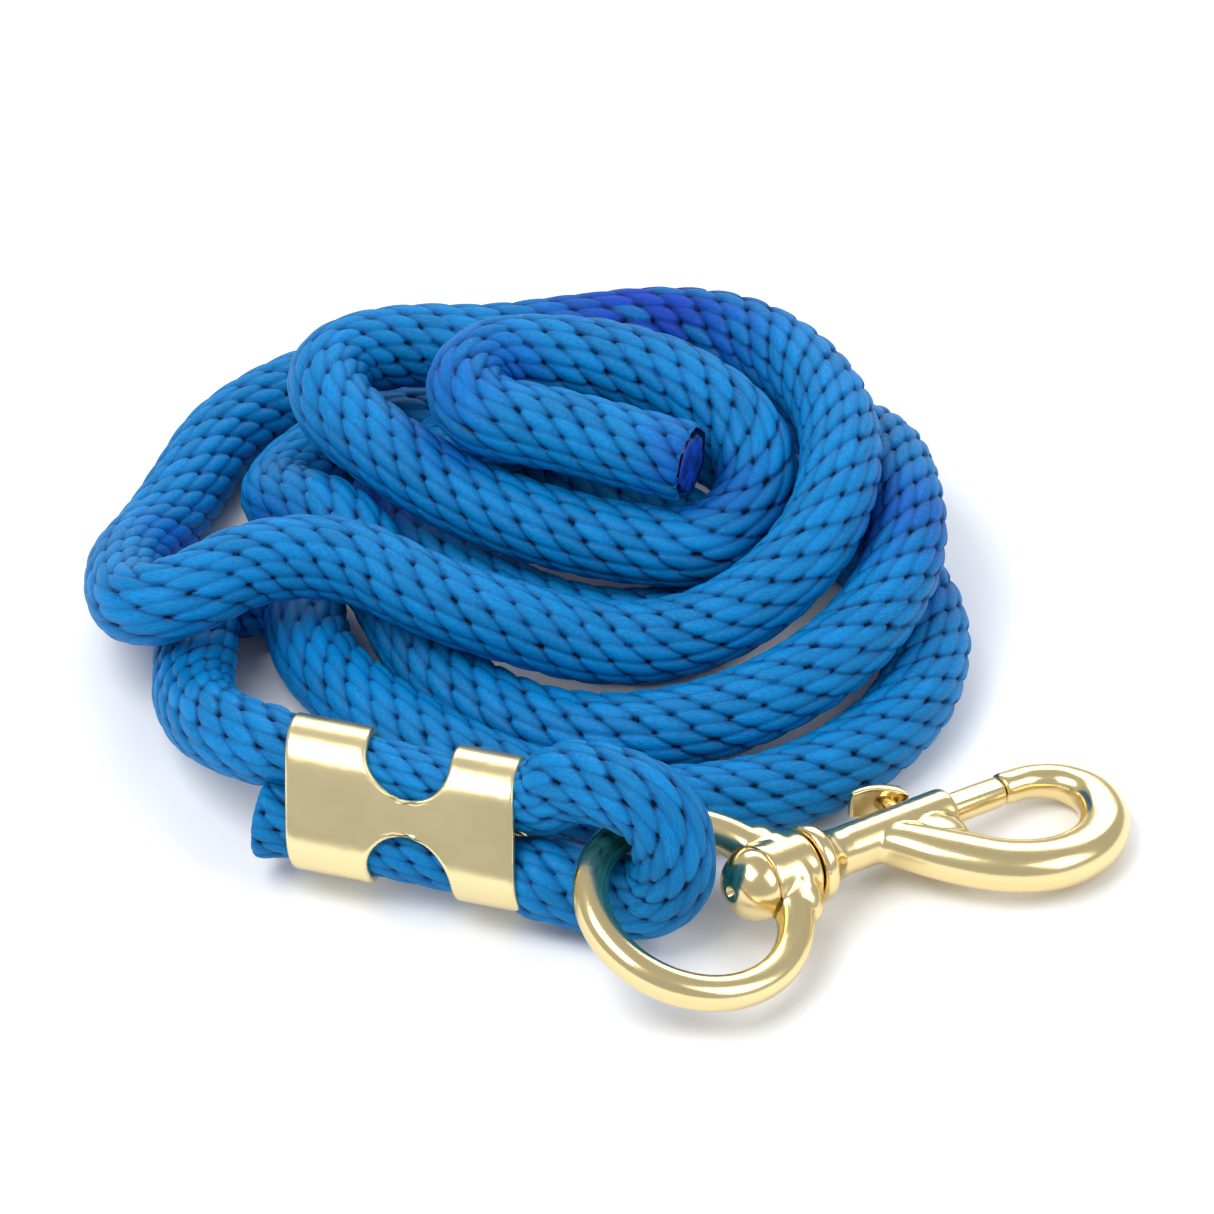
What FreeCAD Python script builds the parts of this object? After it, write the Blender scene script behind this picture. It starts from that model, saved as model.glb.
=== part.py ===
import FreeCAD, Part
import math
import os
from FreeCAD import Vector, Placement, Rotation

# Lead rope for leading a horse: a solid-braid rope laid down in a loose coil, one end
# folded back round the eye of a swivel bolt snap and held by a folded metal clamp.
# Millimetres. X right, Y back, Z up, the floor at Z = 0, the middle of the whole at X = Y = 0.

doc = FreeCAD.newDocument("LeadRope")
sheet = doc.addObject("Spreadsheet::Sheet", "Sizes")

SIZES = [
    # rope
    ("rope_dia", 15.6),
    ("coil_spread", 1.0),
    # clamp folded round the two strands
    ("clamp_length", 43.0),
    ("clamp_wall", 1.7),
    ("clamp_bite", 0.3),
    ("clamp_arm_left", 15.0),
    ("clamp_arm_right", 12.5),
    ("clamp_bridge", 7.0),
    ("clamp_seam", 1.0),
    # eye of the snap
    ("ring_inner", 31.75),
    ("ring_bar", 6.5),
    ("ring_slack", 0.95),
    ("boss_inner_face", 15.0),
    ("boss_inset", 0.875),
    ("boss_length", 10.0),
    ("boss_dia", 14.0),
    ("boss_swell_wide", 10.5),
    ("boss_swell_deep", 5.0),
    ("boss_swell_along", 6.4),
    # rivet that the hook turns on
    ("shank_dia", 7.0),
    ("shank_play", 0.05),
    ("shank_wall", 1.0),
    ("head_dia", 13.6),
    ("head_height", 6.3),
    ("head_gap", 0.25),
    ("dimple_dia", 2.2),
    ("dimple_depth", 1.6),
    # body of the hook
    ("collar_gap", 0.25),
    ("collar_dia", 14.8),
    ("collar_length", 2.75),
    ("neck_length", 3.5),
    ("barrel_dia", 9.2),
    ("barrel_length", 26.5),
    ("opening_length", 12.2),
    ("bore_dia", 5.8),
    ("slot_play", 0.5),
    ("hook_girth", 1.0),
    ("web_half", 6.6),
    ("web_deep", 4.1),
    # bolt, tab and spring
    ("bolt_play", 0.05),
    ("bolt_heel", 1.4),
    ("tip_gap", 0.35),
    ("bolt_flat", 4.7),
    ("bolt_travel", 9.0),
    ("post_dia", 3.2),
    ("post_set", 18.0),
    ("tab_length", 9.0),
    ("tab_width", 6.4),
    ("tab_reach", 11.2),
    ("tab_thick", 1.9),
    ("spring_play", 0.3),
    ("spring_wire", 0.6),
    ("spring_pitch", 2.0),
    ("spring_seat", 0.4),
]
# Places and fits that follow from the sizes above, along the snap from the middle of the eye.
FOLLOWING = [
    ("ring_at", "boss_inner_face + boss_inset - ring_inner / 2"),
    ("boss_outer_face", "boss_inner_face + boss_length"),
    ("collar_end", "boss_outer_face + collar_gap + collar_length"),
    ("neck_start", "collar_end + neck_length"),
    ("shank_end", "neck_start - shank_wall"),
    ("barrel_end", "neck_start + barrel_length"),
    ("tip_at", "barrel_end + opening_length"),
    ("post_at", "neck_start + post_set"),
    ("slot_width", "post_dia + 2 * slot_play"),
    ("bolt_rear", "post_at - post_dia / 2 - bolt_heel"),
    ("bolt_front", "tip_at - tip_gap"),
    ("spring_start", "neck_start + spring_seat"),
    ("spring_dia", "bore_dia - spring_wire - 2 * spring_play"),
]
for row, (name, value) in enumerate(SIZES, 1):
    sheet.set("A%d" % row, name)
    sheet.set("B%d" % row, str(value))
    sheet.setAlias("B%d" % row, name)
for row, (name, rule) in enumerate(FOLLOWING, len(SIZES) + 1):
    sheet.set("A%d" % row, name)
    sheet.set("B%d" % row, "=" + rule)
    sheet.setAlias("B%d" % row, name)
doc.recompute()


def size(name):
    return float(sheet.get(name))


# ---------------------------------------------------------------- rope line
# Corner points of the line down the middle of the rope, from the cut tail to the top end.

# Tail, lower strand in the clamp, round the eye of the snap, upper strand in the clamp.
EYE_END = [
    (-63.0, -47.5, 10.2), (-39.0, -54.9, 10.2), (-14.0, -62.4, 9.0), (11.3, -68.1, 8.2),
    (11.3, -68.1, 32.4), (-7.0, -57.2, 31.1), (-16.0, -53.2, 24.8), (-36.0, -47.0, 23.8),
    (-57.0, -39.9, 23.8),
]
# Hairpin on the left, front of the floor turn, right side, up over the back.
TURN_1 = [
    (-70.0, -31.0, 18.5), (-75.5, -16.0, 12.0), (-75.5, 2.0, 8.0), (-74.5, 20.0, 8.0),
    (-55.8, 20.0, 8.0), (-54.8, 2.0, 9.5), (-46.0, -13.5, 11.0), (-29.5, -28.0, 10.5),
    (-11.0, -37.0, 8.5), (8.0, -40.0, 8.0), (27.0, -37.0, 8.0), (43.0, -27.0, 8.0),
    (54.5, -12.0, 8.0), (58.5, 5.0, 8.0), (56.0, 20.0, 8.0), (46.0, 33.0, 8.0),
    (35.0, 42.5, 9.0), (22.0, 51.0, 16.0), (6.0, 55.0, 23.8), (-9.0, 54.0, 24.3),
    (-20.0, 51.5, 20.5),
]
# Small turn back under the hump, inner floor turn, left bend.
TURN_2 = [
    (-35.5, 50.5, 13.0), (-41.3, 44.8, 9.0), (-41.3, 36.5, 8.0), (-33.0, 29.0, 8.0),
    (-22.0, 20.5, 8.0), (-8.0, 11.5, 8.0), (7.0, 9.5, 8.0), (18.0, 15.0, 8.0),
    (21.0, 28.0, 8.0), (13.0, 40.0, 8.0), (-1.0, 50.0, 8.0), (-14.0, 61.0, 8.0),
    (-27.0, 69.0, 8.0), (-41.0, 67.5, 8.0), (-53.0, 60.5, 8.0), (-60.5, 50.0, 8.3),
    (-60.0, 39.0, 13.5),
]
# Second strand of the front, right side on top of the first, outer floor lane at the back.
TURN_3 = [
    (-49.5, 28.5, 19.5), (-41.0, 15.0, 15.2), (-34.0, 1.0, 9.5), (-25.5, -10.5, 8.5),
    (-12.0, -19.5, 9.0), (4.0, -23.5, 11.0), (22.0, -21.5, 14.5), (38.0, -14.0, 19.0),
    (49.0, -1.0, 22.0), (54.2, 15.0, 23.8), (53.0, 31.0, 24.0), (50.0, 46.0, 20.5),
    (42.0, 60.0, 13.0), (30.0, 73.0, 9.0), (12.0, 82.0, 8.0), (-8.0, 86.0, 8.0),
    (-28.0, 88.0, 8.0), (-46.0, 85.0, 8.0), (-61.0, 76.0, 8.0), (-72.0, 65.0, 8.0),
    (-77.5, 50.0, 8.0), (-83.0, 36.0, 8.8),
]
# Left bend, third strand of the front, right side, back of the upper turn.
TURN_4 = [
    (-87.8, 23.0, 13.2), (-88.4, 10.0, 18.0), (-86.3, -1.0, 22.5), (-77.0, -3.0, 26.8),
    (-64.5, 6.0, 28.3), (-47.5, 7.0, 28.3), (-32.0, -2.5, 26.0), (-17.0, -7.0, 23.8),
    (-2.0, -8.0, 19.5), (14.0, -7.0, 20.5), (28.0, -2.0, 26.0), (38.0, 8.0, 32.0),
    (42.0, 22.0, 35.0), (41.5, 38.0, 35.0), (36.0, 53.0, 33.0), (26.0, 66.0, 31.0),
    (11.0, 73.0, 28.0), (-6.0, 71.5, 27.0), (-22.0, 68.0, 27.0),
]
# Hump on the left and the upper inner turn.
TURN_5 = [
    (-38.0, 69.0, 27.0), (-51.0, 63.0, 28.0), (-52.0, 50.0, 29.0), (-43.0, 38.5, 28.5),
    (-29.0, 28.0, 25.5), (-12.0, 20.0, 24.0), (5.0, 15.5, 23.5), (18.5, 14.0, 24.5),
    (27.5, 23.0, 28.5), (25.0, 36.0, 34.5), (12.0, 45.0, 38.0), (-0.5, 48.8, 39.6),
]
# Hairpin on top and the free end.
TOP_END = [
    (-11.5, 50.0, 39.8), (-20.5, 49.7, 39.8), (-25.6, 44.8, 39.8), (-26.2, 37.7, 40.0),
    (-22.1, 31.9, 40.0), (-11.4, 29.3, 40.0), (2.0, 24.5, 39.6), (14.5, 19.0, 40.0),
]

FRONT_STRAND = -40.0
CLAMP_AT = -36.0
# Height and depth of the ring's bar inside the rope's loop.
BAR_BACK = -64.7
BAR_HIGH = 20.2


def coil_corner(point):
    """The coil opens backwards from its front strand, so it stays clear of the snap."""
    back = FRONT_STRAND + (point[1] - FRONT_STRAND) * size("coil_spread")
    return Vector(point[0], back, point[2])


def rope_edges(corners):
    """Straight runs joined by tangent arcs. Returns the edges and the arc radii."""
    cuts = [(corners[0], corners[0])]
    radii = []
    for before, corner, after in zip(corners, corners[1:], corners[2:]):
        back = before - corner
        ahead = after - corner
        shorter = min(back.Length, ahead.Length)
        turn = math.pi - back.getAngle(ahead)
        reach = 0.45 * shorter
        radii.append(reach / math.tan(turn / 2))
        back.normalize()
        ahead.normalize()
        cuts.append((corner + back * reach, corner + ahead * reach))
    cuts.append((corners[-1], corners[-1]))
    edges = []
    for number in range(1, len(cuts)):
        start = cuts[number - 1][1]
        stop = cuts[number][0]
        edges.append(Part.LineSegment(start, stop).toShape())
        if number < len(cuts) - 1:
            corner = corners[number]
            arc_in = (start - corner).normalize()
            arc_out = (cuts[number][1] - corner).normalize()
            half = arc_in.getAngle(arc_out) / 2
            reach = (stop - corner).Length
            radius = reach * math.tan(half)
            toward = (arc_in + arc_out).normalize()
            middle = corner + toward * (reach / math.cos(half) - radius)
            edges.append(Part.Arc(stop, middle, cuts[number][1]).toShape())
    return edges, radii


eye_corners = [Vector(*point) for point in EYE_END]
turns = TURN_1 + TURN_2 + TURN_3 + TURN_4 + TURN_5 + TOP_END
coil_corners = [coil_corner(point) for point in turns]
edges, radii = rope_edges(eye_corners + coil_corners)

# The run that leaves the clamp is shared between the two lengths, half each.
shared = 2 * (len(EYE_END) - 1)
run_start = edges[shared].Vertexes[0].Point
run_stop = edges[shared].Vertexes[1].Point
halfway = (run_start + run_stop) * 0.5
eye_wire = Part.Wire(edges[:shared] + [Part.LineSegment(run_start, halfway).toShape()])
coil_wire = Part.Wire([Part.LineSegment(halfway, run_stop).toShape()] + edges[shared + 1 :])


def rope_length(name, label, wire, start, ahead):
    line = doc.addObject("Part::Feature", name + "_line")
    line.Shape = wire
    section = doc.addObject("Part::Circle", name + "_section")
    section.setExpression("Radius", "Sizes.rope_dia / 2")
    section.Placement = Placement(start, Rotation(Vector(0, 0, 1), ahead))
    tube = doc.addObject("Part::Sweep", name)
    tube.Sections = [section]
    tube.Spine = (line, ["Edge%d" % (n + 1) for n in range(len(wire.Edges))])
    tube.Solid = True
    tube.Frenet = False
    tube.Label = label
    return tube


eye_ahead = eye_corners[1] - eye_corners[0]
rope_eye_end = rope_length("RopeEyeEnd", "rope_eye_end", eye_wire, eye_corners[0], eye_ahead)
rope_coil = rope_length("RopeCoil", "rope_coil", coil_wire, halfway, run_stop - halfway)

# ---------------------------------------------------------------- helpers for turned metal
ALONG_X = Rotation(Vector(0, 0, 1), Vector(1, 0, 0))
ALONG_Y = Rotation(Vector(0, 0, 1), Vector(0, 1, 0))


def round_bar(name, radius, start, stop):
    bar = doc.addObject("Part::Cylinder", name)
    bar.Placement = Placement(Vector(0, 0, 0), ALONG_X)
    bar.setExpression("Radius", radius)
    bar.setExpression("Height", "(%s) - (%s)" % (stop, start))
    bar.setExpression("Placement.Base.x", start)
    return bar


def block(name, low, high):
    solid = doc.addObject("Part::Box", name)
    for prop, axis, near, far in zip(("Length", "Width", "Height"), "xyz", low, high):
        solid.setExpression(prop, "(%s) - (%s)" % (far, near))
        solid.setExpression("Placement.Base." + axis, near)
    return solid


def egg(name, along, across, deep, where):
    solid = doc.addObject("Part::Ellipsoid", name)
    solid.setExpression("Radius1", deep)
    solid.setExpression("Radius2", along)
    solid.setExpression("Radius3", across)
    solid.Angle1 = -90
    solid.Angle2 = 90
    solid.Angle3 = 360
    for axis, value in zip("xyz", where):
        solid.setExpression("Placement.Base." + axis, value)
    return solid


def join(name, pieces):
    fused = doc.addObject("Part::MultiFuse", name)
    fused.Shapes = pieces
    return fused


def take(name, base, tool):
    cut = doc.addObject("Part::Cut", name)
    cut.Base = base
    cut.Tool = tool
    return cut


# ---------------------------------------------------------------- clamp
# Its own frame: X from the lower strand to the upper one, Y out of the front, Z along the rope.
lower = eye_corners[1]
strand = (eye_corners[2] - eye_corners[0]).normalize()
strand = Vector(strand.x, strand.y, 0).normalize()
across = eye_corners[7] - lower
across = (across - strand * across.dot(strand)).normalize()
front = strand.cross(across)
between = (eye_corners[7] - lower)
spacing = (between - strand * between.dot(strand)).Length
middle = lower + across * (spacing / 2)
centre = middle + strand * (CLAMP_AT - middle.x) * (1 / strand.x)

sheet.set("A90", "strand_spacing")
sheet.set("B90", str(round(spacing, 4)))
sheet.setAlias("B90", "strand_spacing")
doc.recompute()

clamp_body = doc.addObject("PartDesign::Body", "ClampBody")
plane = [f for f in clamp_body.Origin.OriginFeatures if f.Role == "XY_Plane"][0]
outline = clamp_body.newObject("Sketcher::SketchObject", "ClampOutline")
outline.AttachmentSupport = [(plane, "")]
outline.MapMode = "FlatFace"
outline.setExpression("AttachmentOffset.Base.z", "-Sizes.clamp_length / 2")


def stadium(sketch, half, radius):
    """Two lines and two half circles, with the radius and the half spacing as driven sizes."""
    right = Vector(half, 0, 0)
    left = Vector(-half, 0, 0)
    sketch.addGeometry(Part.ArcOfCircle(Part.Circle(right, Vector(0, 0, 1), radius),
                                        -math.pi / 2, math.pi / 2), False)
    sketch.addGeometry(Part.ArcOfCircle(Part.Circle(left, Vector(0, 0, 1), radius),
                                        math.pi / 2, 3 * math.pi / 2), False)
    sketch.addGeometry(Part.LineSegment(Vector(half, radius, 0), Vector(-half, radius, 0)), False)
    sketch.addGeometry(Part.LineSegment(Vector(-half, -radius, 0), Vector(half, -radius, 0)), False)


wall_in = size("rope_dia") / 2 - size("clamp_bite")
wall_out = wall_in + size("clamp_wall")
stadium(outline, spacing / 2, wall_out)
stadium(outline, spacing / 2, wall_in)
band = clamp_body.newObject("PartDesign::Pad", "ClampBand")
band.Profile = outline
band.setExpression("Length", "Sizes.clamp_length")
clamp_body.Tip = band
doc.recompute()

notch_low = "-Sizes.clamp_length / 2 + Sizes.clamp_arm_left"
notch_high = "Sizes.clamp_length / 2 - Sizes.clamp_arm_right"
back_notch = block("ClampBackNotch", ("-30", "-20", notch_low), ("30", "0", notch_high))
top_notch = block("ClampTopNotch", ("Sizes.clamp_bridge / 2", "-1", notch_low), ("30", "20", notch_high))
low_notch = block("ClampLowNotch", ("-30", "-1", notch_low), ("-Sizes.clamp_bridge / 2", "20", notch_high))
seam = block("ClampSeam", ("-Sizes.clamp_seam / 2", "-20", "-30"), ("Sizes.clamp_seam / 2", "-1", "30"))
clamp_cuts = join("ClampCuts", [back_notch, top_notch, low_notch, seam])
rope_clamp = take("RopeClamp", clamp_body, clamp_cuts)
rope_clamp.Label = "rope_clamp"
rope_clamp.Placement = Placement(centre, Rotation(across, front, strand, "ZXY"))

# ---------------------------------------------------------------- place of the snap
# Its own frame: X along the snap from the middle of the eye to the tip, Y to the tab's side.
YAW = 37.2
PITCH = 6.9
ROLL = 17.5
BAR_ANGLE = 112.0
snap_turn = Rotation(YAW, PITCH, 0)
eye_turn = snap_turn.multiply(Rotation(Vector(1, 0, 0), ROLL))
ring_radius = (size("ring_inner") + size("ring_bar")) / 2
spoke = Vector(math.cos(math.radians(BAR_ANGLE)), math.sin(math.radians(BAR_ANGLE)), 0)
loop_inside = eye_corners[3].x - size("rope_dia") / 2
bar_point = Vector(loop_inside - size("ring_bar") / 2 - size("ring_slack"), BAR_BACK, BAR_HIGH)
ring_centre = bar_point - eye_turn.multVec(spoke * ring_radius + Vector(size("ring_at"), 0, 0))
snap_place = Placement(ring_centre, snap_turn)
eye_place = Placement(ring_centre, eye_turn)
print("ring centre", ring_centre, "axis", snap_turn.multVec(Vector(1, 0, 0)))
print("eye hinge at", bar_point, "along", eye_turn.multVec(Vector(-spoke.y, spoke.x, 0)))

# ---------------------------------------------------------------- eye
ring = doc.addObject("Part::Torus", "Ring")
ring.setExpression("Radius1", "(Sizes.ring_inner + Sizes.ring_bar) / 2")
ring.setExpression("Radius2", "Sizes.ring_bar / 2")
ring.setExpression("Placement.Base.x", "Sizes.ring_at")
swell = egg("BossSwell", "Sizes.boss_swell_along", "Sizes.boss_swell_wide", "Sizes.boss_swell_deep",
            ("Sizes.ring_at + (Sizes.ring_inner + Sizes.ring_bar) / 2", "0", "0"))
boss = round_bar("Boss", "Sizes.boss_dia / 2", "Sizes.boss_inner_face", "Sizes.boss_outer_face")
eye_solid = join("EyeSolid", [ring, swell, boss])
seat = round_bar("HeadSeat", "Sizes.head_dia / 2 + 1", "2", "Sizes.boss_inner_face")
face_off = block("BossFaceOff", ("Sizes.boss_outer_face", "-15", "-15"), ("Sizes.boss_outer_face + 15", "15", "15"))
shank_hole = round_bar("ShankHole", "Sizes.shank_dia / 2 + Sizes.shank_play", "10", "Sizes.boss_outer_face + 5")
eye_cuts = join("EyeCuts", [seat, face_off, shank_hole])
swivel_eye = take("SwivelEye", eye_solid, eye_cuts)
swivel_eye.Label = "swivel_eye"
swivel_eye.Placement = eye_place

# ---------------------------------------------------------------- rivet
head_face = "Sizes.boss_inner_face - Sizes.head_gap"
dome = egg("HeadDome", "Sizes.head_height", "Sizes.head_dia / 2", "Sizes.head_dia / 2",
           (head_face, "0", "0"))
dome_off = block("HeadFlat", (head_face, "-10", "-10"), ("30", "10", "10"))
head = take("Head", dome, dome_off)
shank = round_bar("Shank", "Sizes.shank_dia / 2", head_face + " - 1", "Sizes.shank_end")
rivet_solid = join("RivetSolid", [head, shank])
dimple = round_bar("Dimple", "Sizes.dimple_dia / 2", head_face + " - Sizes.head_height - 1",
                   head_face + " - Sizes.head_height + Sizes.dimple_depth")
swivel_rivet = take("SwivelRivet", rivet_solid, dimple)
swivel_rivet.Label = "swivel_rivet"
swivel_rivet.Placement = snap_place

# ---------------------------------------------------------------- body of the hook
collar_start = "Sizes.boss_outer_face + Sizes.collar_gap"
collar = round_bar("Collar", "Sizes.collar_dia / 2", collar_start, "Sizes.collar_end")
neck = doc.addObject("Part::Cone", "Neck")
neck.Placement = Placement(Vector(0, 0, 0), ALONG_X)
neck.setExpression("Radius1", "Sizes.collar_dia / 2 - 0.6")
neck.setExpression("Radius2", "Sizes.barrel_dia / 2")
neck.setExpression("Height", "Sizes.neck_start - Sizes.collar_end")
neck.setExpression("Placement.Base.x", "Sizes.collar_end")
barrel = round_bar("Barrel", "Sizes.barrel_dia / 2", "Sizes.neck_start - 0.5", "Sizes.barrel_end")

# Sections of the bent bar: place along and across, heading, half width and half depth.
HOOK_BAR = [
    (42.0, -0.8, -38.0, 4.2, 4.1),
    (47.0, -6.5, -53.0, 4.7, 4.3),
    (51.7, -13.2, -50.0, 5.0, 4.4),
    (57.5, -18.8, -35.0, 5.1, 4.4),
    (65.3, -22.3, -11.0, 5.1, 4.4),
    (74.0, -21.8, 19.0, 4.9, 4.3),
    (81.0, -17.0, 50.0, 4.5, 4.1),
    (83.8, -10.0, 88.0, 3.9, 3.8),
    (81.6, -3.6, 126.0, 3.4, 3.3),
    (76.4, -0.2, 162.0, 3.1, 3.0),
    (70.2, 0.3, 180.0, 3.0, 2.9),
]
# The bar sets off from the barrel's end, and its bend closes on the tip.
DRAWN_BARREL_END = 58.0
DRAWN_TIP = 70.2
rings = []
for number, (along, side, heading, wide, deep) in enumerate(HOOK_BAR, 1):
    angle = math.radians(heading)
    ahead = Vector(math.cos(angle), math.sin(angle), 0)
    section = doc.addObject("Part::Ellipse", "HookSection%d" % number)
    section.setExpression("MajorRadius", "%s * Sizes.hook_girth + 0.001" % wide)
    section.setExpression("MinorRadius", "%s * Sizes.hook_girth" % deep)
    section.Placement = Placement(Vector(0, side, 0),
                                  Rotation(Vector(-ahead.y, ahead.x, 0), Vector(0, 0, 1), ahead, "ZXY"))
    follows = "barrel_end" if along < DRAWN_BARREL_END else "tip_at"
    drawn = DRAWN_BARREL_END if along < DRAWN_BARREL_END else DRAWN_TIP
    section.setExpression("Placement.Base.x", "Sizes.%s + %s" % (follows, round(along - drawn, 3)))
    rings.append(section)
bent_bar = doc.addObject("Part::Loft", "HookBar")
bent_bar.Sections = rings
bent_bar.Solid = True
bent_bar.Ruled = False
web = egg("HookWeb", "Sizes.web_half", "Sizes.web_half + 0.4", "Sizes.web_deep", ("Sizes.barrel_end - 7.2", "-5.6", "0"))
hook_solid = join("HookSolid", [collar, neck, barrel, bent_bar, web])
rivet_hole = round_bar("RivetHole", "Sizes.shank_dia / 2", "Sizes.boss_outer_face - 5", "Sizes.shank_end")
bore = round_bar("Bore", "Sizes.bore_dia / 2", "Sizes.neck_start", "Sizes.barrel_end + 6")
slot = block("Slot",
             ("Sizes.post_at - Sizes.post_dia / 2 - Sizes.bolt_travel - 0.4", "0", "-Sizes.slot_width / 2"),
             ("Sizes.post_at + Sizes.post_dia / 2 + 0.4", "9", "Sizes.slot_width / 2"))
hook_cuts = join("HookCuts", [rivet_hole, bore, slot])
hook_body = take("HookFrame", hook_solid, hook_cuts)
hook_body.Label = "hook_body"
hook_body.Placement = snap_place

# ---------------------------------------------------------------- bolt
bolt_bar = round_bar("BoltBar", "Sizes.bore_dia / 2 - Sizes.bolt_play", "Sizes.bolt_rear", "Sizes.bolt_front")
bolt_sides = block("BoltSides",
                   ("Sizes.bolt_rear - 1", "-5", "-Sizes.bolt_flat / 2"),
                   ("Sizes.bolt_front + 1", "5", "Sizes.bolt_flat / 2"))
bolt_flat = doc.addObject("Part::Common", "BoltFlat")
bolt_flat.Base = bolt_bar
bolt_flat.Tool = bolt_sides


def post(name):
    pin = doc.addObject("Part::Cylinder", name)
    pin.Placement = Placement(Vector(0, 0, 0), ALONG_Y)
    pin.setExpression("Radius", "Sizes.post_dia / 2")
    pin.setExpression("Height", "Sizes.tab_reach - 0.5")
    pin.setExpression("Placement.Base.x", "Sizes.post_at")
    return pin


snap_bolt = take("SnapBolt", bolt_flat, post("PostHole"))
snap_bolt.Label = "snap_bolt"
snap_bolt.Placement = snap_place

# ---------------------------------------------------------------- thumb tab
tab_front = "Sizes.post_at + Sizes.post_dia / 2 + 1.7"
tab_plate = block("TabPlate",
                  (tab_front + " - Sizes.tab_length", "Sizes.tab_reach - Sizes.tab_thick", "-Sizes.tab_width / 2"),
                  (tab_front, "Sizes.tab_reach", "Sizes.tab_width / 2"))
thumb_tab = join("ThumbTab", [post("TabPost"), tab_plate])
thumb_tab.Label = "thumb_tab"
thumb_tab.Placement = snap_place

# ---------------------------------------------------------------- spring
coil = doc.addObject("Part::Helix", "SpringLine")
coil.setExpression("Pitch", "Sizes.spring_pitch")
coil.setExpression("Radius", "Sizes.spring_dia / 2")
coil.setExpression("Height", "Sizes.bolt_rear - Sizes.spring_start - Sizes.spring_wire")
wire_section = doc.addObject("Part::Circle", "SpringSection")
wire_section.setExpression("Radius", "Sizes.spring_wire / 2")
wire_section.Placement = Placement(Vector(size("spring_dia") / 2, 0, 0), Rotation(Vector(0, 0, 1), Vector(0, 1, 0.14)))
bolt_spring = doc.addObject("Part::Sweep", "BoltSpring")
bolt_spring.Sections = [wire_section]
bolt_spring.Spine = (coil, ["Edge1"])
bolt_spring.Solid = True
bolt_spring.Frenet = True
bolt_spring.Label = "bolt_spring"
start = Placement(Vector(size("spring_start"), 0, 0), ALONG_X)
bolt_spring.Placement = snap_place.multiply(start)

doc.recompute()

# ---------------------------------------------------------------- checks and files
PIECES = [
    rope_eye_end, rope_coil, rope_clamp, swivel_eye, swivel_rivet,
    hook_body, snap_bolt, thumb_tab, bolt_spring,
]
for item in doc.Objects:
    state = list(item.State)
    if "Invalid" in state or "Error" in state:
        raise RuntimeError("%s is in state %s" % (item.Name, state))
print("rope arc radii", " ".join("%.1f" % r for r in radii))
section_area = math.pi * (size("rope_dia") / 2) ** 2
for tube, wire in ((rope_eye_end, eye_wire), (rope_coil, coil_wire)):
    wanted = section_area * wire.Length
    print(tube.Label, "length %.1f, volume over section x length %.4f" % (wire.Length, tube.Shape.Volume / wanted))
    if abs(tube.Shape.Volume / wanted - 1) > 0.01:
        raise RuntimeError("the tube %s isn't the size of its line" % tube.Label)
print("rope length %.1f" % (eye_wire.Length + coil_wire.Length))
os.makedirs("parts", exist_ok=True)
whole = FreeCAD.BoundBox()
for piece in PIECES:
    shape = piece.Shape
    if shape.isNull() or not shape.isValid():
        raise RuntimeError("%s has no valid shape" % piece.Label)
    if len(shape.Solids) != 1:
        raise RuntimeError("%s has %d solids" % (piece.Label, len(shape.Solids)))
    shape.exportStep("parts/%s.step" % piece.Label)
    box = shape.BoundBox
    whole.add(box)
    print("%-13s X %.1f..%.1f  Y %.1f..%.1f  Z %.1f..%.1f  volume %.0f" % (
        piece.Label, box.XMin, box.XMax, box.YMin, box.YMax, box.ZMin, box.ZMax, shape.Volume))
print("whole X %.1f..%.1f  Y %.1f..%.1f  Z %.1f..%.1f" % (
    whole.XMin, whole.XMax, whole.YMin, whole.YMax, whole.ZMin, whole.ZMax))
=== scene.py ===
import math
import bpy
import bmesh
import numpy as np
from mathutils import Matrix, Vector


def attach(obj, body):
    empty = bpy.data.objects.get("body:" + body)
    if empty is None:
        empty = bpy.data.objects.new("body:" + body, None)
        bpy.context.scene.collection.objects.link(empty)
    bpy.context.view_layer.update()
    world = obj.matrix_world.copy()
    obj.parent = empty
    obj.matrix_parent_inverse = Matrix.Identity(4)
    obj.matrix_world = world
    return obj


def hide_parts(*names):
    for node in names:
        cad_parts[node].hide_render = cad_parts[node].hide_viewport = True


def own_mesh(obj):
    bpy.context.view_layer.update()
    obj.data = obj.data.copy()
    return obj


# A lead rope: azure solid-braid rope in a loose coil, its eye held by a folded brass clamp round the
# ring of a polished brass bolt snap. Metres. X right, Y back, Z up, the floor at Z = 0.

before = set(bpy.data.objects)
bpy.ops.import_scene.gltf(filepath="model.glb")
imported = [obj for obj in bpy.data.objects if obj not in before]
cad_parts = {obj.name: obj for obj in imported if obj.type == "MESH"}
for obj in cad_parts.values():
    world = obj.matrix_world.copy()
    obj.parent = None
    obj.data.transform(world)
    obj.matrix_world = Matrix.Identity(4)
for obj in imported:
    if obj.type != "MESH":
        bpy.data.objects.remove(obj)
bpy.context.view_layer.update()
MM = 0.001
scene = bpy.context.scene

# ---------------------------------------------------------------- camera
VIEW_DISTANCE = 4.0
VIEW_HEIGHT = math.radians(40)
VIEW_WIDTH = 0.2207
target = Vector((-0.0007, 0.0142, 0.010))
eye_at = target + Vector((0, -math.cos(VIEW_HEIGHT), math.sin(VIEW_HEIGHT))) * VIEW_DISTANCE
camera_data = bpy.data.cameras.new("camera")
camera_data.sensor_width = 36
camera_data.lens = 36 * VIEW_DISTANCE / VIEW_WIDTH
camera_data.clip_end = 20
camera = bpy.data.objects.new("camera", camera_data)
camera.location = eye_at
camera.rotation_euler = (target - eye_at).to_track_quat("-Z", "Y").to_euler()
scene.collection.objects.link(camera)
scene.camera = camera

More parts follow.
